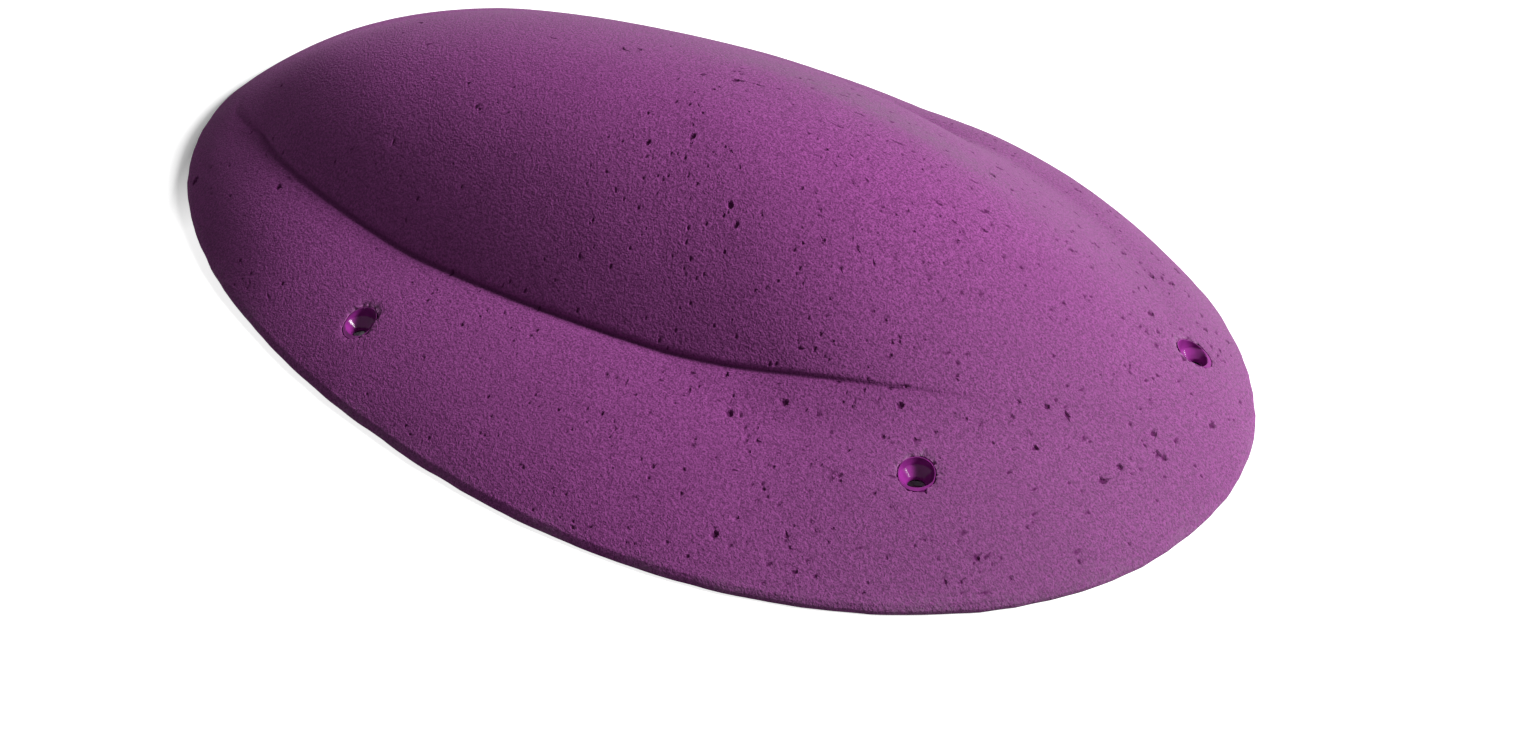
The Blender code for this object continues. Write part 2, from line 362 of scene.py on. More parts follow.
def lobe_radius(angle):
    """Distance from the lobe's middle to its foot."""
    turned_back = angle - LOBE_TURN
    return egg_radius(turned_back, LOBE_HALF_LENGTH, LOBE_HALF_WIDTH, LOBE_OUTLINE_POWER, LOBE_EGG)


def eased(share):
    """A share from 0 to 1 that starts and ends gently."""
    share = np.clip(share, 0, 1)
    return share * share * (3 - 2 * share)


def faded(value, start, length):
    """0 up to the start, easing to 1 over a length."""
    return eased((value - start) / length)


def bell(value, middle, spread):
    """1 at the middle, falling off on both sides."""
    return np.exp(-(((value - middle) / spread) ** 2))


def window(angle, start, end, fade_in, fade_out):
    """1 between two angles, easing to 0 inside both ends."""
    turn = (angle - start) % math.tau
    span = (end - start) % math.tau
    inside = eased(turn / fade_in) * eased((span - turn) / fade_out)
    return np.where(turn > span, 0, inside)


def outline_share(x, y):
    """0 at the origin and 1 on the outline."""
    return np.minimum(np.hypot(x, y) / outline_radius(np.arctan2(y, x)), 1)


def lobe_reach(x, y):
    """The angle about the lobe's middle, and the distance from it: 1 on the lobe's foot."""
    angle = np.arctan2(y - LOBE_Y, x - LOBE_X)
    return angle, np.hypot(x - LOBE_X, y - LOBE_Y) / lobe_radius(angle)


def body_height(x, y):
    """Height of the low dome below the lobe."""
    angle = np.arctan2(y, x)
    front = window(angle, FRONT_FROM, FRONT_TO, FRONT_FADE, FRONT_FADE)
    back = window(angle, BACK_FROM, BACK_TO, BACK_FADE, BACK_FADE)
    power = BODY_POWER + (FRONT_POWER - BODY_POWER) * front + (BACK_POWER - BODY_POWER) * back
    tilt = 1 + LENGTH_TILT * x / HALF_LENGTH + WIDTH_TILT * y / HALF_WIDTH
    return RIM_HEIGHT + BODY_RISE * (1 - outline_share(x, y) ** power) * tilt


def folded_rise(angle, reach):
    """Share of the lobe's rise where it is folded, rounded out away from the sharp line."""
    line = window(angle, LINE_FROM, LINE_TO, LINE_FADE_LEFT, LINE_FADE_RIGHT)
    rounding = np.maximum(FOLD_ROUNDING * (1 - line), LEAST_ROUNDING)
    rise = 1 - reach**FOLD_POWER
    return np.maximum(rise, 0) + rounding * np.log1p(np.exp(-np.abs(rise) / rounding))


def lobe_height(x, y, folded):
    """Height of the lobe above the body: steep where it is folded, and merging elsewhere."""
    angle, reach = lobe_reach(x, y)
    edge = outline_share(x, y)
    fold = folded * window(angle, FOLD_FROM, FOLD_TO, FOLD_FADE_LEFT, FOLD_FADE_RIGHT)
    spread = np.minimum(reach ** (1 - MERGE_SPREAD) * edge**MERGE_SPREAD, 1)
    merging = (1 - spread**MERGE_POWER) ** MERGE_FADE
    rise = fold * folded_rise(angle, reach) + (1 - fold) * merging
    scoop = window(angle, SCOOP_FROM, SCOOP_TO, SCOOP_FADE, SCOOP_FADE)
    dip = scoop * bell(reach, SCOOP_AT, SCOOP_SPREAD)
    tilt = 1 + LOBE_TILT * (x - LOBE_X) / HALF_LENGTH + LOBE_LEAN * (y - LOBE_Y) / HALF_WIDTH
    return LOBE_RISE * rise * (1 - edge**LOBE_EDGE) * tilt - SCOOP_DEPTH * dip


def height(x, y, folded=1):
    """Height of the skin, or of a plain dome like it that nothing folds, with folded at 0."""
    return body_height(x, y) + lobe_height(x, y, folded)


def gradient(x, y, folded=1):
    """Slope of the height along x and along y."""
    along = height(x + SURFACE_STEP, y, folded) - height(x - SURFACE_STEP, y, folded)
    across = height(x, y + SURFACE_STEP, folded) - height(x, y - SURFACE_STEP, folded)
    return along / (2 * SURFACE_STEP), across / (2 * SURFACE_STEP)


def station_place(name):
    """Where a screw's axis stands."""
    angle, inset = STATIONS[name]
    reach = outline_radius(angle) - inset
    return float(reach * math.cos(angle)), float(reach * math.sin(angle))


class VolumeForm(bpy.types.PropertyGroup):
    """Sizes of the new pieces"""

    round_steps: IntProperty(
        name="Round steps", description="Steps round the skin", default=120, min=24
    )
    lobe_rings: IntProperty(
        name="Lobe rings", description="Rings from the lobe's middle to its foot", default=18
    )
    apron_rings: IntProperty(
        name="Apron rings", description="Rings from the lobe's foot to the rim", default=11
    )
    hole_radius: FloatProperty(
        name="Hole radius",
        description="Radius of a screw hole in the skin",
        default=0.0066,
        unit="LENGTH",
    )
    hole_raggedness: FloatProperty(
        name="Hole raggedness",
        description="How far the lip of a hole wanders",
        default=0.0009,
        unit="LENGTH",
    )
    sleeve_gap: FloatProperty(
        name="Sleeve gap",
        description="Gap between the skin and a seat's sleeve",
        default=0.00015,
        unit="LENGTH",
    )
    sleeve_wall: FloatProperty(
        name="Sleeve wall",
        description="Thickness of a seat's sleeve at its mouth",
        default=0.0003,
        unit="LENGTH",
    )
    seat_sink: FloatProperty(
        name="Seat sink",
        description="How far a sleeve ends below the skin",
        default=0.0006,
        unit="LENGTH",
    )
    crease_depth: FloatProperty(
        name="Crease depth",
        description="Depth of the undercut line of the fold",
        default=0.0009,
        unit="LENGTH",
    )
    rim_wander: FloatProperty(
        name="Rim wander",
        description="How far the rim strays from its outline",
        default=0.0005,
        unit="LENGTH",
    )


class VolumeSkin(bpy.types.PropertyGroup):
    """Texture of the skin"""

    grit_size: FloatProperty(
        name="Grit size", description="Size of the modelled grains", default=0.0040, unit="LENGTH"
    )
    grit_depth: FloatProperty(
        name="Grit depth",
        description="Height of the modelled grains",
        default=0.00005,
        precision=6,
        unit="LENGTH",
    )
    swell_size: FloatProperty(
        name="Swell size",
        description="Size of the casting's slight unevenness",
        default=0.030,
        unit="LENGTH",
    )
    swell_depth: FloatProperty(
        name="Swell depth",
        description="Height of that unevenness",
        default=0.00025,
        precision=6,
        unit="LENGTH",
    )
    pit_count: IntProperty(
        name="Pits", description="Number of open pits in the skin", default=900, min=0
    )
    pit_seed: IntProperty(name="Pit seed", description="Which scatter of pits", default=7)
    grain: FloatProperty(
        name="Grain", description="Size of the finest grain", default=0.0012, unit="LENGTH"
    )


class VolumeColours(bpy.types.PropertyGroup):
    """Colours of the finishes"""

    # The grit's purples: painted light on the grains' tops and painted shade between them, where
    # the bump sinks the skin; the deep one also tints the blotches
    skin_light: FloatVectorProperty(
        name="Skin light",
        description="Purple of the lit grains",
        subtype="COLOR",
        default=(0.460, 0.104, 0.418),
    )
    skin_deep: FloatVectorProperty(
        name="Skin deep",
        description="Purple between the grains",
        subtype="COLOR",
        default=(0.272, 0.054, 0.245),
    )
    # Dust that also stands in for painted sheen seen edge-on, and for painted shade on the
    # brightest slopes
    dust_and_sheen: FloatVectorProperty(
        name="Dust",
        description="Greyish bloom of dust",
        subtype="COLOR",
        default=(0.238, 0.142, 0.225),
    )
    # Dark of the grain's speckle and pores, and painted shade at the bottoms of pits and along the
    # crease
    pit: FloatVectorProperty(
        name="Pit", description="Bottom of a pit", subtype="COLOR", default=(0.135, 0.018, 0.118)
    )
    chalk: FloatVectorProperty(
        name="Chalk",
        description="Chalky resin of worn edges",
        subtype="COLOR",
        default=(0.42, 0.26, 0.40),
    )
    seat: FloatVectorProperty(
        name="Seat",
        description="Glossy resin of a seat",
        subtype="COLOR",
        default=(0.30, 0.028, 0.27),
    )
    back: FloatVectorProperty(
        name="Back",
        description="Raw resin of the open back",
        subtype="COLOR",
        default=(0.30, 0.075, 0.265),
    )


class VolumeStudio(bpy.types.PropertyGroup):
    """Lights of the stage"""

    key_power: FloatProperty(
        name="Key power", description="Power of the key light", default=120.0, unit="POWER"
    )
    key_distance: FloatProperty(
        name="Key distance", description="Distance of the key light", default=3.0, unit="LENGTH"
    )
    key_turn: FloatProperty(
        name="Key turn",
        description="Turn of the key light from the camera's right",
        default=math.radians(-7),
        subtype="ANGLE",
    )
    key_lift: FloatProperty(
        name="Key lift",
        description="Height of the key light over the floor",
        default=math.radians(38),
        subtype="ANGLE",
    )
    key_size: FloatProperty(
        name="Key size", description="Width of the key light", default=0.8, unit="LENGTH"
    )
    below_power: FloatProperty(
        name="Power below",
        description="Power of the light under the open back",
        default=14.0,
        unit="POWER",
    )
    fill: FloatProperty(
        name="Fill", description="Strength of the light from all round", default=0.10
    )


def new_mesh_object(name, shape, finishes=()):
    """An object of a bmesh, with its finishes in the order of their slots."""
    mesh = bpy.data.meshes.new(name)
    shape.to_mesh(mesh)
    shape.free()
    made = bpy.data.objects.new(name, mesh)
    bpy.context.scene.collection.objects.link(made)
    for finish in finishes:
        mesh.materials.append(finish)
    return made


def discard(made):
    """Removes an object with its mesh."""
    mesh = made.data
    bpy.data.objects.remove(made)
    bpy.data.meshes.remove(mesh)


def set_slot(faces, slot):
    for face in faces:
        face.material_index = slot


def on_skin(part):
    """Whether an edge or a vertex touches the skin."""
    return any(face.material_index == SKIN_SLOT for face in part.link_faces)


def wrapped_grid(point, steps, rings, slot):
    """A closed bmesh from a grid that is wrapped round: its last ring is filled flat."""
    grid = bmesh.new()
    bmesh.ops.create_grid(grid, x_segments=steps, y_segments=rings, size=0.5)
    for vertex in grid.verts:
        angle = (vertex.co.x + 0.5) * math.tau
        ring = round((vertex.co.y + 0.5) * rings)
        vertex.co = point(angle, ring)
    set_slot(grid.faces, slot)
    bmesh.ops.remove_doubles(grid, verts=grid.verts, dist=MERGE_DISTANCE)
    open_edges = [edge for edge in grid.edges if edge.is_boundary]
    set_slot(bmesh.ops.holes_fill(grid, edges=open_edges, sides=0)["faces"], BACK_SLOT)
    bmesh.ops.recalc_face_normals(grid, faces=grid.faces)
    bmesh.ops.triangulate(grid, faces=[face for face in grid.faces if len(face.verts) == 4])
    return grid


def skin_point(form):
    """The place of a skin vertex: rings from the lobe's middle to the rim, and down its flank."""
    lobe_rings = form.lobe_rings
    apron_rings = form.apron_rings

    def place(angle, ring):
        foot = lobe_radius(angle)
        foot_x = LOBE_X + foot * math.cos(angle)
        foot_y = LOBE_Y + foot * math.sin(angle)
        if ring <= lobe_rings:
            share = math.sin(math.pi / 2 * ring / lobe_rings)
            x = LOBE_X + share * (foot_x - LOBE_X)
            y = LOBE_Y + share * (foot_y - LOBE_Y)
            return x, y, float(height(x, y))
        share = min((ring - lobe_rings) / apron_rings, 1)
        share = 1 - (1 - share) ** APRON_CROWDING
        edge = outline_radius(angle)
        rim = ring - lobe_rings - apron_rings
        inset, level = RIM_RINGS[max(rim - 1, 0)]
        reach = edge - (inset if rim > 0 else RIM_ROUND)
        x = foot_x + share * (reach * math.cos(angle) - foot_x)
        y = foot_y + share * (reach * math.sin(angle) - foot_y)
        return x, y, level if rim > 0 else float(height(x, y))

    return place


def hollow_point(angle, ring):
    """The place of a vertex of the hollow: rings from the origin to the rim, and one below."""
    edge = outline_radius(angle) - RIM_WIDTH
    share = min(ring / HOLLOW_RINGS, 1)
    x = share * edge * math.cos(angle)
    y = share * edge * math.sin(angle)
    if ring > HOLLOW_RINGS:
        return x, y, HOLLOW_FOOT
    steep = math.hypot(1, *gradient(x, y, 0))
    return x, y, max(float(height(x, y, 0)) - WALL * steep, LEAST_HOLLOW)


def turned(points, steps, place, slot):
    """A closed bmesh turned from a profile of radius and height about an upright axis."""
    made = bmesh.new()
    verts = [made.verts.new((radius, 0, z)) for radius, z in points]
    edges = [made.edges.new(pair) for pair in zip(verts, verts[1:], strict=False)]
    bmesh.ops.spin(
        made,
        geom=verts + edges,
        axis=(0, 0, 1),
        cent=(0, 0, 0),
        steps=steps,
        angle=math.tau,
        use_merge=True,
    )
    bmesh.ops.remove_doubles(made, verts=made.verts, dist=MERGE_DISTANCE)
    bmesh.ops.recalc_face_normals(made, faces=made.faces)
    bmesh.ops.translate(made, verts=made.verts, vec=(*place, 0))
    set_slot(made.faces, slot)
    return made


def carve(target, cutter):
    """Cuts a bmesh out of an object for good."""
    tool = new_mesh_object("cutter", cutter)
    boolean = target.modifiers.new("cut", "BOOLEAN")
    boolean.operation = "DIFFERENCE"
    boolean.solver = "EXACT"
    boolean.object = tool
    bpy.context.view_layer.update()
    evaluated = target.evaluated_get(bpy.context.evaluated_depsgraph_get())
    result = bpy.data.meshes.new_from_object(evaluated)
    target.modifiers.clear()
    old = target.data
    target.data = result
    bpy.data.meshes.remove(old)
    discard(tool)


def rib_shape(size, x):
    """A block that stands where a rib is left, about a place along the length."""
    cube = bmesh.new()
    bmesh.ops.create_cube(cube, size=1)
    bmesh.ops.scale(cube, vec=size, verts=cube.verts)
    bmesh.ops.translate(cube, vec=(x, 0, 0), verts=cube.verts)
    set_slot(cube.faces, BACK_SLOT)
    return cube


def hollow_tool():
    """The cutter of the open back, with the ribs and the screw bosses left standing."""
    length, width, tall = RIB_CUT
    foot, top = BOSS_CUT
    core = new_mesh_object(
        "core", wrapped_grid(hollow_point, HOLLOW_STEPS, HOLLOW_RINGS + 1, BACK_SLOT)
    )
    carve(core, rib_shape((length, RIB_THICKNESS, tall), 0))
    for x in CROSS_RIBS_AT:
        carve(core, rib_shape((RIB_THICKNESS, width, tall), x))
    for name in STATIONS:
        boss = [(0, top), (BOSS_RADIUS, top), (BOSS_RADIUS, foot), (0, foot)]
        carve(core, turned(boss, BOSS_STEPS, station_place(name), BACK_SLOT))
    shape = bmesh.new()
    shape.from_mesh(core.data)
    discard(core)
    return shape


def seat_levels(name):
    """Heights at a station: the skin on its axis, the cone's top, and the seat's lowest."""
    x, y = station_place(name)
    fall = math.hypot(*gradient(x, y)) * SEAT_OUTER
    surface = float(height(x, y))
    cone_top = surface - CONE_START * fall - SEAT_SINK
    return surface, cone_top, cone_top - CONE_DEPTH - SEAT_FLOOR


def station_tool(name, form):
    """The cutter of one station: the hole in the skin, the washer's pocket and the bore."""
    surface, _, floor = seat_levels(name)
    top = surface + PAST_SKIN
    pocket = WASHER_RADIUS + CLEARANCE
    pocket_foot = floor - WASHER_THICKNESS - 2 * CLEARANCE
    profile = [
        (0, top),
        (form.hole_radius, top),
        (form.hole_radius, floor),
        (pocket, floor),
        (pocket, pocket_foot),
        (BORE_RADIUS, pocket_foot),
        (BORE_RADIUS, PAST_WALL_FACE),
        (0, PAST_WALL_FACE),
    ]
    return turned(profile, HOLE_STEPS, station_place(name), BACK_SLOT)


def scattered_pits(skin):
    """The pits of the skin: denser over the middle and the right of the volume."""
    dice = random.Random(skin.pit_seed)
    pits = []
    while len(pits) < skin.pit_count:
        x = dice.uniform(-HALF_LENGTH, HALF_LENGTH)
        y = dice.uniform(-HALF_WIDTH, HALF_WIDTH)
        if outline_share(x, y) > PIT_EDGE:
            continue
        cluster = noise.noise(Vector((x * PIT_CLUSTERS, y * PIT_CLUSTERS, PIT_CLUSTER_LEVEL)))
        right = float(faded(x, PIT_RIGHT_FROM, PIT_RIGHT_FADE))
        chance = PIT_CHANCE + PIT_CHANCE_RIGHT * right + PIT_CHANCE_CLUSTER * cluster
        if dice.random() > chance:
            continue
        wide = PIT_WIDE * dice.random() if dice.random() < PIT_WIDE_CHANCE else 0
        radius = PIT_RADIUS + PIT_RADIUS_SPREAD * dice.random() + wide
        turn = dice.uniform(0, math.pi)
        pits.append(Pit(x, y, radius, turn, dice.uniform(1, PIT_LONGEST)))
    return pits


def pit_depth(place, pit, gap):
    """How deep a place lies in a pit: 1 at its bottom and 0 outside its ragged edge."""
    if gap > PIT_REACH * pit.radius:
        return 0.0
    x, y = place.x - pit.x, place.y - pit.y
    along = x * math.cos(pit.turn) + y * math.sin(pit.turn)
    across = y * math.cos(pit.turn) - x * math.sin(pit.turn)
    wander = 1 + PIT_RAGGED * noise.noise(place * PIT_RAGGED_GRAIN)
    edge = PIT_BROADER * pit.radius * wander
    return max(0.0, 1 - (along / (pit.stretch * edge)) ** 2 - (across / edge) ** 2)


def refine(shape, pits):
    """Splits the skin's edges, further round pits and holes. Returns a tree of the pits."""
    skin_edges = [edge for edge in shape.edges if on_skin(edge)]
    bmesh.ops.subdivide_edges(shape, edges=skin_edges, cuts=EVEN_CUTS, use_grid_fill=True)
    pit_tree = kdtree.KDTree(len(pits))
    for number, pit in enumerate(pits):
        pit_tree.insert((pit.x, pit.y, 0), number)
    pit_tree.balance()
    holes = [station_place(name) for name in STATIONS]
    for _ in range(FINE_PASSES):
        chosen = []
        for edge in shape.edges:
            length = edge.calc_length()
            if length < FINEST_EDGE or not on_skin(edge):
                continue
            middle = (edge.verts[0].co + edge.verts[1].co) / 2
            _, number, gap = pit_tree.find((middle.x, middle.y, 0))
            at_hole = any(math.dist(middle.xy, hole) < NEAR_HOLE for hole in holes)
            if at_hole or gap < NEAR_PIT * pits[number].radius + NEAR_EDGE * length:
                chosen.append(edge)
        bmesh.ops.subdivide_edges(
            shape, edges=chosen, cuts=1, use_grid_fill=True, use_single_edge=True
        )
        coarse = [face for face in shape.faces if len(face.verts) > 3]
        bmesh.ops.triangulate(shape, faces=coarse)
    return pit_tree


def skin_normals(x, y, inside):
    """Directions out of the skin: square to the surface, and level at the rim."""
    along, across = gradient(x, y)
    normals = np.stack([-along, -across, np.ones_like(x)], axis=1)
    outward = np.stack([x, y, 0 * x], axis=1)
    normals = np.where(inside[:, None], normals, outward)
    return normals / np.linalg.norm(normals, axis=1)[:, None]


def crease_amount(x, y):
    """How deep the fold's undercut line is: 1 along its middle."""
    angle, reach = lobe_reach(x, y)
    along = window(angle, CREASE_FROM, CREASE_TO, CREASE_FADE_LEFT, CREASE_FADE_RIGHT)
    stray = CREASE_STRAY * eased((CREASE_TURN - angle % math.tau) / CREASE_STRAY_FADE)
    return along * bell(reach, CREASE_AT + stray, CREASE_SPREAD)


def dust_and_sheen_amount(x, y, normals):
    """Dust with painted sheen, and painted shade where it darkens lit slopes: most on the crest,
    the back and the right shoulder.
    """
    away = faded(normals @ np.array(DUST_AND_SHEEN_SIDE), *DUST_AND_SHEEN_AWAY_FADE)
    tip = faded(-x, *DUST_AND_SHEEN_TIP_FADE)
    right = faded(x, *DUST_AND_SHADE_RIGHT_FADE)
    amount = DUST_AND_SHEEN_LEAST + DUST_AND_SHEEN_AWAY * away * (1 - DUST_AND_SHEEN_TIP * tip) + DUST_AND_SHADE_RIGHT * right
    line = CREST_MIDDLE[1] + CREST_SLANT * (x - CREST_MIDDLE[0])
    crest = bell(x, CREST_MIDDLE[0], CREST_SPREAD[0]) * bell(y, line, CREST_SPREAD[1])
    return np.clip(amount + CREST_DUST_AND_SHEEN * crest, 0, 1)


def sculpt_skin(shape, form, skin, pits, pit_tree):
    """Lays the skin on the exact surface, then adds its unevenness, grit, pits and crease."""
    # Masks of painted shade in pits and along the crease, of the greyish bloom with painted sheen
    # and shade, and of worn chalk
    layers = {key: shape.verts.layers.float.new(key) for key in ("pit", "crease", "dust_and_sheen", "worn")}
    chosen = [vertex for vertex in shape.verts if on_skin(vertex)]
    places = np.array([vertex.co for vertex in chosen])
    x, y = places[:, 0], places[:, 1]
    inset = outline_radius(np.arctan2(y, x)) - np.hypot(x, y)
    inside = inset > INSIDE_RIM * RIM_ROUND
    places[:, 2] = np.where(inside, height(x, y), places[:, 2])
    normals = skin_normals(x, y, inside)
    crease = crease_amount(x, y)
    dust_and_sheen_mask = dust_and_sheen_amount(x, y, normals)
    rim = np.exp(-np.maximum(inset, 0) / RIM_FADE)
    for row, vertex in enumerate(chosen):
        place = Vector(places[row])
        _, nearest, gap = pit_tree.find((place.x, place.y, 0))
        pit = pit_depth(place, pits[nearest], gap)
        lift = skin.grit_depth * noise.noise(place / skin.grit_size)
        swell = skin.swell_depth * noise.noise(place / skin.swell_size)
        swell += form.rim_wander * float(rim[row]) * noise.noise(place / RIM_WANDER_SIZE)
        depth = PIT_SINK * pits[nearest].radius * min(pit * PIT_STEEP, 1.0)
        depth += form.crease_depth * float(crease[row])
        vertex.co = place + Vector(normals[row]) * (lift + swell - depth)
        # Painted shade in a pit, which also holds less of the bloom
        vertex[layers["pit"]] = min(pit * PIT_SHADE, 1.0)
        # Painted shade along the crease, kept for the colour
        vertex[layers["crease"]] = float(crease[row])
        vertex[layers["dust_and_sheen"]] = float(dust_and_sheen_mask[row])
        patches = 0.5 + noise.noise(place / WORN_SIZE)
        vertex[layers["worn"]] = WORN_MOST * float(rim[row]) * patches
    for name in STATIONS:
        ragged_hole(chosen, station_place(name), form, layers["worn"])


def ragged_hole(chosen, middle, form, worn):
    """Lets the lip of a screw hole crumble, most on its uphill side."""
    up = Vector((*gradient(*middle), 0)).normalized()
    for vertex in chosen:
        out = Vector((vertex.co.x - middle[0], vertex.co.y - middle[1], 0))
        gap = out.length
        if gap > form.hole_radius + LIP_REACH:
            continue
        out.normalize()
        uphill = 0.5 + 0.5 * out.dot(up)
        crumb = max(0.5 + noise.noise(vertex.co * LIP_GRAIN), 0)
        near = math.exp(-max(gap - form.hole_radius, 0) / LIP_FADE)
        push = LIP_DOWNHILL + (1 - LIP_DOWNHILL) * uphill
        sink = LIP_WHOLE + (1 - LIP_WHOLE) * crumb
        vertex.co += out * form.hole_raggedness * near * crumb * push
        vertex.co.z -= form.hole_raggedness * near * sink
        vertex[worn] = max(vertex[worn], near * uphill * (LIP_WHOLE + crumb))


def smooth(made, degrees):
    """Shades an object smooth, apart from edges that turn by more than an angle."""
    made.data.shade_smooth()
    made.data.set_sharp_from_angle(angle=math.radians(degrees))


class VOLUME_OT_casting(bpy.types.Operator):
    """Models the gritty casting with its open, ribbed back"""

    bl_idname = "volume.casting"
    bl_label = "Casting"

    def execute(self, context):
        form = context.scene.volume_form
        skin = context.scene.volume_skin
        rings = form.lobe_rings + form.apron_rings + len(RIM_RINGS)
        body = wrapped_grid(skin_point(form), form.round_steps, rings, SKIN_SLOT)
        made = new_mesh_object("casting", body, [skin_finish(context), back_finish(context)])
        carve(made, hollow_tool())
        for name in STATIONS:
            carve(made, station_tool(name, form))
        shape = bmesh.new()
        shape.from_mesh(made.data)
        pits = scattered_pits(skin)
        pit_tree = refine(shape, pits)
        sculpt_skin(shape, form, skin, pits, pit_tree)
        shape.to_mesh(made.data)
        shape.free()
        smooth(made, SHARP_SKIN)
        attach(made, "root")
        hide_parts("shell")
        return {"FINISHED"}


def seat_shape(name, form):
    """A sleeve with a cone for the screw's head, cut off a little below the skin."""
    surface, cone_top, floor = seat_levels(name)
    foot, top = floor + CLEARANCE, surface + PAST_SKIN
    outer = form.hole_radius - form.sleeve_gap
    inner = outer - form.sleeve_wall
    points = [(BORE_RADIUS, foot), (outer, foot), (outer, top), (inner, top)]
    points.append((inner, cone_top + SLEEVE_FOOT))
    widest = inner - CONE_LEDGE
    for ring in range(CONE_RINGS + 1):
        share = ring / CONE_RINGS
        points.append((widest - share * (widest - BORE_RADIUS), cone_top - share * CONE_DEPTH))
    made = turned(points + points[:1], SEAT_STEPS, station_place(name), 0)
    for vertex in made.verts:
        limit = float(height(vertex.co.x, vertex.co.y)) - form.seat_sink
        vertex.co.z = min(vertex.co.z, limit)
    return made


class VOLUME_OT_seats(bpy.types.Operator):
    """Models the smooth, glossy sleeve of every screw hole"""

    bl_idname = "volume.seats"
    bl_label = "Screw seats"

    def execute(self, context):
        form = context.scene.volume_form
        finish = seat_finish(context)
        for name in STATIONS:
            made = new_mesh_object(f"seat_{name}", seat_shape(name, form), [finish])
            smooth(made, SHARP_SEAT)
            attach(made, "root")
            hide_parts(f"screw_seat_{name}")
        return {"FINISHED"}


class VOLUME_OT_washers(bpy.types.Operator):
    """Finishes the steel washers that are cast in below the seats"""

    bl_idname = "volume.washers"
    bl_label = "Washers"

    def execute(self, context):
        finish = steel_finish()
        for name in STATIONS:
            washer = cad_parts[f"washer_{name}"]
            washer.data.materials.clear()
            washer.data.materials.append(finish)
        return {"FINISHED"}


def node(tree, kind, **values):
    """A node with some of its properties set."""
    made = tree.nodes.new(kind)
    for key, value in values.items():
        setattr(made, key, value)
    return made


def new_finish(name, surface=None):
    """A material with its shader, some of its sockets set, and its Object coordinates."""
    finish = bpy.data.materials.new(name)
    finish.use_nodes = True
    tree = finish.node_tree
    shader = tree.nodes["Principled BSDF"]
    for key, value in (surface or {}).items():
        shader.inputs[key].default_value = value
    return finish, tree, shader, node(tree, "ShaderNodeTexCoord").outputs["Object"]


def finish_with(tree, shader, colour, roughness, normal):
    """Links what varies over the surface to its shader."""
    tree.links.new(colour, shader.inputs["Base Color"])
    tree.links.new(roughness, shader.inputs["Roughness"])
    tree.links.new(normal, shader.inputs["Normal"])


def noise_value(tree, place, size, detail=3.0, roughness=0.55):
    """A noise of a given grain size in metres."""
    made = node(tree, "ShaderNodeTexNoise")
    made.inputs["Scale"].default_value = 1 / size
    made.inputs["Detail"].default_value = detail
    made.inputs["Roughness"].default_value = roughness
    tree.links.new(place, made.inputs["Vector"])
    return made.outputs["Fac"]


def cells(tree, place, size):
    """Distance to the nearest of scattered points, in shares of their spacing."""
    made = node(tree, "ShaderNodeTexVoronoi")
    made.inputs["Scale"].default_value = 1 / size
    tree.links.new(place, made.inputs["Vector"])
    return made.outputs["Distance"]


def attribute(tree, name):
    """An attribute that the skin's vertices carry."""
    return node(tree, "ShaderNodeAttribute", attribute_name=name).outputs["Fac"]


def stretched(tree, value, span, share=WHOLE):
    """Maps a value from one range to another, clamped."""
    made = node(tree, "ShaderNodeMapRange", clamp=True)
    made.inputs["From Min"].default_value, made.inputs["From Max"].default_value = span
    made.inputs["To Min"].default_value, made.inputs["To Max"].default_value = share
    tree.links.new(value, made.inputs["Value"])
    return made.outputs["Result"]


def calculated(tree, operation, first, second):
    """The result for a socket and a second one, or a number."""
    made = node(tree, "ShaderNodeMath", operation=operation)
    tree.links.new(first, made.inputs[0])
    if isinstance(second, float):
        made.inputs[1].default_value = second
    else:
        tree.links.new(second, made.inputs[1])
    return made.outputs[0]


def times(tree, first, second):
    return calculated(tree, "MULTIPLY", first, second)


def larger(tree, first, second):
    return calculated(tree, "MAXIMUM", first, second)


def mixed(tree, share, first, second):
    """A colour between two, each a colour or a socket."""
    made = node(tree, "ShaderNodeMix", data_type="RGBA")
    tree.links.new(share, made.inputs[0])
    for socket, colour in zip((made.inputs[6], made.inputs[7]), (first, second), strict=True):
        if isinstance(colour, bpy.types.NodeSocket):
            tree.links.new(colour, socket)
        else:
            socket.default_value = (*colour, 1)
    return made.outputs[2]


def bumped(tree, value, strength, distance, below=None):
    """A bump, on top of another one if it is given."""
    made = node(tree, "ShaderNodeBump")
    made.inputs["Strength"].default_value = strength
    made.inputs["Distance"].default_value = distance
    tree.links.new(value, made.inputs["Height"])
    if below is not None:
        tree.links.new(below, made.inputs["Normal"])
    return made.outputs["Normal"]


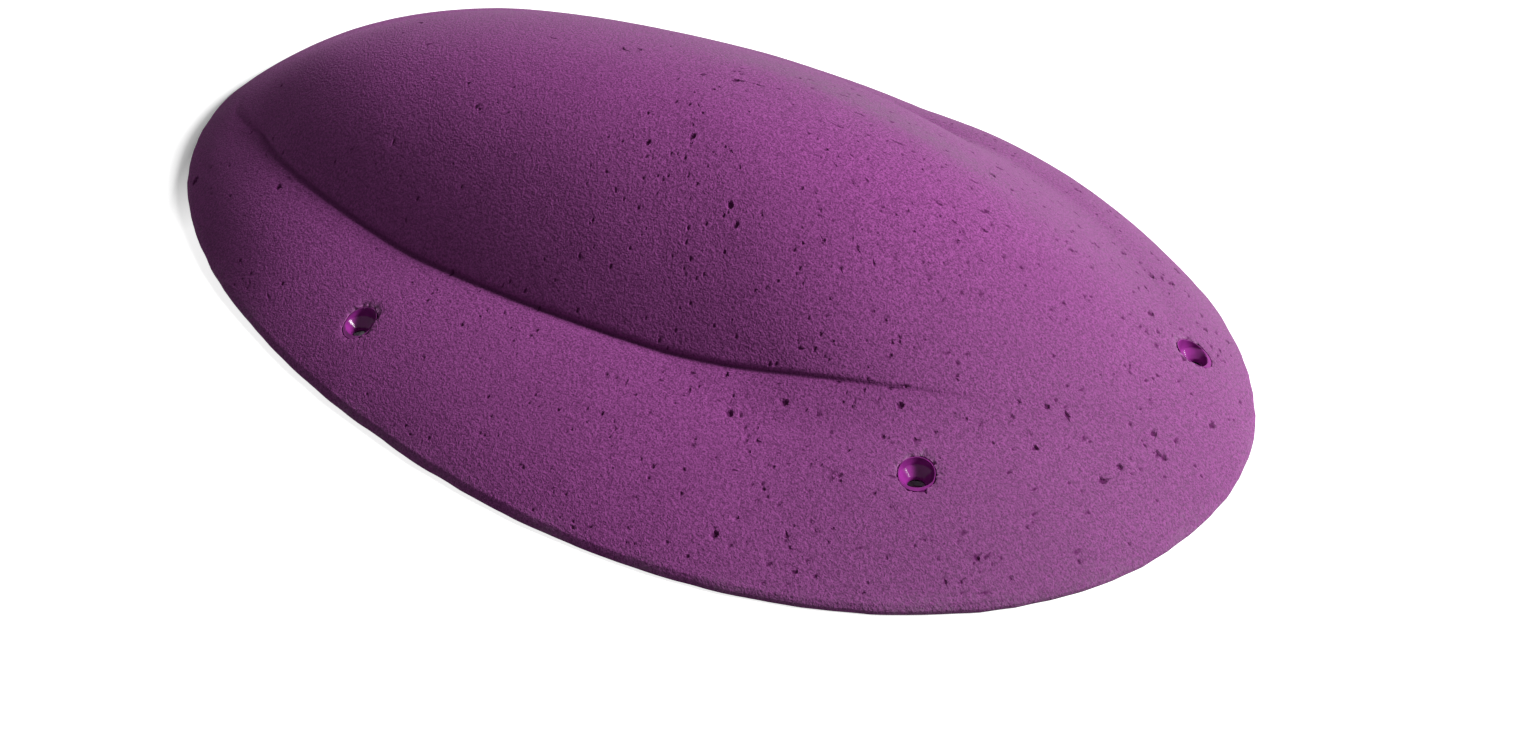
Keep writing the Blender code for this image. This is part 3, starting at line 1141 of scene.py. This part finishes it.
def skin_finish(context):
    """Matt purple resin with a foam-like grit in painted light and shade, and fine pores. Dust
    with painted sheen lies on it, and painted shade in its pits and crease.
    """
    colours = context.scene.volume_colours
    size = context.scene.volume_skin.grain
    finish, tree, shader, place = new_finish("gritty_purple_resin", SKIN_SURFACE)
    grain = noise_value(tree, place, size, detail=2.0, roughness=0.6)
    speckle = noise_value(tree, place, size * SPECKLE_SIZE, detail=1.0)
    blotch = noise_value(tree, place, BLOTCH_SIZE, detail=3.0, roughness=0.6)
    powder = noise_value(tree, place, size * POWDER_SIZE, detail=4.0, roughness=0.7)
    powder = stretched(tree, powder, POWDER_SPAN)
    dust_and_sheen_mask = times(tree, attribute(tree, "dust_and_sheen"), stretched(tree, powder, WHOLE, DUST_AND_SHEEN_SHARE))
    pores = stretched(tree, cells(tree, place, PORE_SIZE), PORE_SPAN, FALLING)
    # Painted light on the grains' tops and painted shade between them
    colour = mixed(tree, stretched(tree, grain, TONE_SPAN), colours.skin_deep, colours.skin_light)
    for share, over in (
        (stretched(tree, speckle, SPECKLE_SPAN, SPECKLE_SHARE), colours.pit),
        (stretched(tree, blotch, BLOTCH_SPAN, BLOTCH_SHARE), colours.skin_deep),
        # Dust that stands in for painted sheen too, and for painted shade on the brightest slopes
        (dust_and_sheen_mask, colours.dust_and_sheen),
        (times(tree, attribute(tree, "worn"), powder), colours.chalk),
        (times(tree, pores, PORE_SHARE), colours.pit),
        # Painted shade at the bottoms of pits, which hold less of the bloom too
        (attribute(tree, "pit"), colours.pit),
        # Painted shade along the fold's crease
        (times(tree, attribute(tree, "crease"), CREASE_SHADE_SHARE), colours.pit),
    ):
        colour = mixed(tree, share, colour, over)
    normal = bumped(tree, grain, strength=0.8, distance=0.0005)
    normal = bumped(tree, speckle, strength=0.7, distance=0.0003, below=normal)
    normal = bumped(tree, pores, strength=-0.6, distance=0.0005, below=normal)
    finish_with(tree, shader, colour, stretched(tree, grain, NOISE_SPAN, SKIN_ROUGHNESS), normal)
    return finish


def back_finish(context):
    """Raw resin of the back: smoother and duller, with swirls and small bubbles."""
    colours = context.scene.volume_colours
    finish, tree, shader, place = new_finish("raw_purple_resin")
    swirl = noise_value(tree, place, SWIRL_SIZE, detail=5.0, roughness=0.65)
    gain, lift = SWIRL_PALE
    pale = tuple(min(part * gain + lift, 1) for part in colours.back)
    colour = mixed(tree, stretched(tree, swirl, SWIRL_SPAN), colours.back, pale)
    bubbles = stretched(tree, cells(tree, place, BUBBLE_SIZE), BUBBLE_SPAN, FALLING)
    colour = mixed(tree, times(tree, bubbles, BUBBLE_SHARE), colour, colours.pit)
    grain = noise_value(tree, place, BACK_GRAIN)
    normal = bumped(tree, grain, strength=0.25, distance=0.0003)
    normal = bumped(tree, bubbles, strength=-0.5, distance=0.0005, below=normal)
    finish_with(tree, shader, colour, stretched(tree, swirl, NOISE_SPAN, BACK_ROUGHNESS), normal)
    return finish


def seat_finish(context):
    """Smooth, glossy resin that the gritty skin doesn't cover."""
    finish, tree, shader, place = new_finish("glossy_purple_resin", SEAT_SURFACE)
    bright = context.scene.volume_colours.seat
    deep = tuple(part * FLOW_DEEP for part in bright)
    flow = noise_value(tree, place, FLOW_SIZE)
    colour = mixed(tree, stretched(tree, flow, FLOW_SPAN), bright, deep)
    ripple = noise_value(tree, place, RIPPLE_SIZE, detail=2.0)
    normal = bumped(tree, ripple, strength=0.12, distance=0.0002)
    finish_with(tree, shader, colour, stretched(tree, flow, NOISE_SPAN, SEAT_ROUGHNESS), normal)
    return finish


def steel_finish():
    """Zinc-plated steel with a fine grain."""
    finish, tree, shader, place = new_finish("zinc_plated_steel", STEEL_SURFACE)
    grain = noise_value(tree, place, STEEL_GRAIN, detail=4.0)
    colour = mixed(tree, stretched(tree, grain, NOISE_SPAN), STEEL_DARK, STEEL_PALE)
    normal = bumped(tree, grain, strength=0.15, distance=0.0001)
    finish_with(tree, shader, colour, stretched(tree, grain, NOISE_SPAN, STEEL_ROUGHNESS), normal)
    return finish


def light_path(tree, first, *others):
    """1 for rays of the named kinds."""
    path = node(tree, "ShaderNodeLightPath")
    total = path.outputs[first]
    for name in others:
        total = larger(tree, total, path.outputs[name])
    return total


def seen_directly(tree):
    """1 for rays from the camera, a gloss or a see-through surface."""
    return light_path(tree, "Is Camera Ray", "Is Glossy Ray", "Is Transmission Ray")


def floor_reach(tree, place):
    """About 1 on the outline, and 0 at the origin."""
    share = node(tree, "ShaderNodeVectorMath", operation="MULTIPLY")
    tree.links.new(place, share.inputs[0])
    share.inputs[1].default_value = (1 / HALF_LENGTH, 1 / HALF_WIDTH, 0)
    length = node(tree, "ShaderNodeVectorMath", operation="LENGTH")
    tree.links.new(share.outputs[0], length.inputs[0])
    return length.outputs["Value"]


def floor_glow(tree, place, reach):
    """What whitens the floor to the eye, away from the left tip's shadow and the bores."""
    along = node(tree, "ShaderNodeSeparateXYZ")
    tree.links.new(place, along.inputs[0])
    past_tip = stretched(tree, along.outputs["X"], TIP_FADE)
    clear = larger(tree, stretched(tree, reach, FLOOR_FADE), past_tip)
    strength = stretched(tree, clear, WHOLE, FLOOR_GLOW)
    strength = times(tree, strength, stretched(tree, reach, FLOOR_COVERED))
    glow = node(tree, "ShaderNodeEmission")
    glow.inputs["Color"].default_value = (1, 1, 1, 1)
    tree.links.new(times(tree, seen_directly(tree), strength), glow.inputs["Strength"])
    return glow.outputs["Emission"]


def floor_finish():
    """A matt floor: white to the eye, and clear from below and to light under the object."""
    finish, tree, shader, place = new_finish("white_floor", FLOOR_SURFACE)
    reach = floor_reach(tree, place)
    covered = stretched(tree, reach, FLOOR_COVERED, FALLING)
    colour = mixed(tree, noise_value(tree, place, FLOOR_GRAIN), FLOOR_DARK, FLOOR_PALE)
    # Painted shade on the floor under the volume, which only the bores show
    colour = mixed(tree, covered, colour, FLOOR_SHADE_UNDER)
    colour = mixed(tree, light_path(tree, "Is Diffuse Ray"), colour, FLOOR_BOUNCE)
    tree.links.new(colour, shader.inputs["Base Color"])
    both = node(tree, "ShaderNodeAddShader")
    tree.links.new(shader.outputs["BSDF"], both.inputs[0])
    tree.links.new(floor_glow(tree, place, reach), both.inputs[1])
    passed = times(tree, covered, light_path(tree, "Is Shadow Ray", "Is Diffuse Ray"))
    from_below = node(tree, "ShaderNodeNewGeometry").outputs["Backfacing"]
    clear = node(tree, "ShaderNodeBsdfTransparent")
    surface = node(tree, "ShaderNodeMixShader")
    tree.links.new(larger(tree, from_below, passed), surface.inputs[0])
    tree.links.new(both.outputs["Shader"], surface.inputs[1])
    tree.links.new(clear.outputs["BSDF"], surface.inputs[2])
    tree.links.new(surface.outputs["Shader"], tree.nodes["Material Output"].inputs["Surface"])
    return finish


def backdrop(scene, studio):
    """A world that is white where it is seen and soft where it lights."""
    world = bpy.data.worlds.new("studio")
    world.use_nodes = True
    tree = world.node_tree
    shader = tree.nodes["Background"]
    shader.inputs["Color"].default_value = (1, 1, 1, 1)
    strength = stretched(tree, seen_directly(tree), WHOLE, (studio.fill, 1.0))
    tree.links.new(strength, shader.inputs["Strength"])
    scene.world = world


def soft_light(scene, name, power, size, toward, distance):
    """An area light at a direction and distance from the origin, which it faces."""
    lamp = bpy.data.lights.new(name, "AREA")
    lamp.energy = power
    lamp.shape = "RECTANGLE"
    lamp.size = size
    lamp.size_y = size * LIGHT_ASPECT
    made = bpy.data.objects.new(name, lamp)
    made.location = toward * distance
    made.rotation_euler = toward.to_track_quat("Z", "Y").to_euler()
    scene.collection.objects.link(made)


def lights(scene, studio):
    """The key light from the camera's right, and a weak one that only the open back sees."""
    turn = CAMERA_TURN + studio.key_turn
    level = math.cos(studio.key_lift)
    toward = Vector((math.cos(turn) * level, math.sin(turn) * level, math.sin(studio.key_lift)))
    soft_light(scene, "key", studio.key_power, studio.key_size, toward, studio.key_distance)
    below = Vector(BELOW_FROM).normalized()
    soft_light(scene, "below", studio.below_power, BELOW_SIZE, below, BELOW_DISTANCE)


def place_camera(scene):
    """A camera at the photograph's angle."""
    data = bpy.data.cameras.new("camera")
    data.sensor_width = SENSOR_WIDTH
    data.lens = data.sensor_width * LENS_PIXELS / PHOTO_WIDTH
    made = bpy.data.objects.new("camera", data)
    away = Vector((math.sin(CAMERA_TURN), -math.cos(CAMERA_TURN), math.tan(CAMERA_LIFT)))
    away *= math.cos(CAMERA_LIFT)
    made.location = Vector(CAMERA_AIM) + away * CAMERA_REACH
    made.rotation_euler = (math.pi / 2 - CAMERA_LIFT, 0, CAMERA_TURN)
    scene.collection.objects.link(made)
    scene.camera = made


class VOLUME_OT_stage(bpy.types.Operator):
    """Sets up the pale floor, the soft light and the camera"""

    bl_idname = "volume.stage"
    bl_label = "Stage"

    def execute(self, context):
        shape = bmesh.new()
        bmesh.ops.create_grid(shape, x_segments=1, y_segments=1, size=FLOOR_SIZE)
        bmesh.ops.translate(shape, vec=(0, 0, FLOOR_DROP), verts=shape.verts)
        floor = new_mesh_object("floor", shape, [floor_finish()])
        studio = context.scene.volume_studio
        backdrop(context.scene, studio)
        lights(context.scene, studio)
        place_camera(context.scene)
        context.scene.view_settings.view_transform = "Standard"
        return {"FINISHED"}


GROUPS = {
    "volume_form": VolumeForm,
    "volume_skin": VolumeSkin,
    "volume_colours": VolumeColours,
    "volume_studio": VolumeStudio,
}
OPERATORS = (VOLUME_OT_casting, VOLUME_OT_seats, VOLUME_OT_washers, VOLUME_OT_stage)


class VOLUME_PT_panel(bpy.types.Panel):
    """Lists the settings and the pieces of the volume"""

    bl_label = "Climbing volume"
    bl_space_type = "VIEW_3D"
    bl_region_type = "UI"
    bl_category = "Volume"

    def draw(self, context):
        for group in GROUPS:
            box = self.layout.box()
            settings = getattr(context.scene, group)
            for key in settings.bl_rna.properties.keys():
                if key not in ("rna_type", "name"):
                    box.prop(settings, key)
        for operator in OPERATORS:
            self.layout.operator(operator.bl_idname)


def register():
    for group, kind in GROUPS.items():
        bpy.utils.register_class(kind)
        setattr(bpy.types.Scene, group, PointerProperty(type=kind))
    for kind in (*OPERATORS, VOLUME_PT_panel):
        bpy.utils.register_class(kind)


def unregister():
    for kind in reversed((*OPERATORS, VOLUME_PT_panel)):
        bpy.utils.unregister_class(kind)
    for group, kind in reversed(GROUPS.items()):
        delattr(bpy.types.Scene, group)
        bpy.utils.unregister_class(kind)


def main():
    register()
    bpy.ops.volume.casting()
    bpy.ops.volume.seats()
    bpy.ops.volume.washers()
    bpy.ops.volume.stage()


if __name__ == "__main__":
    main()
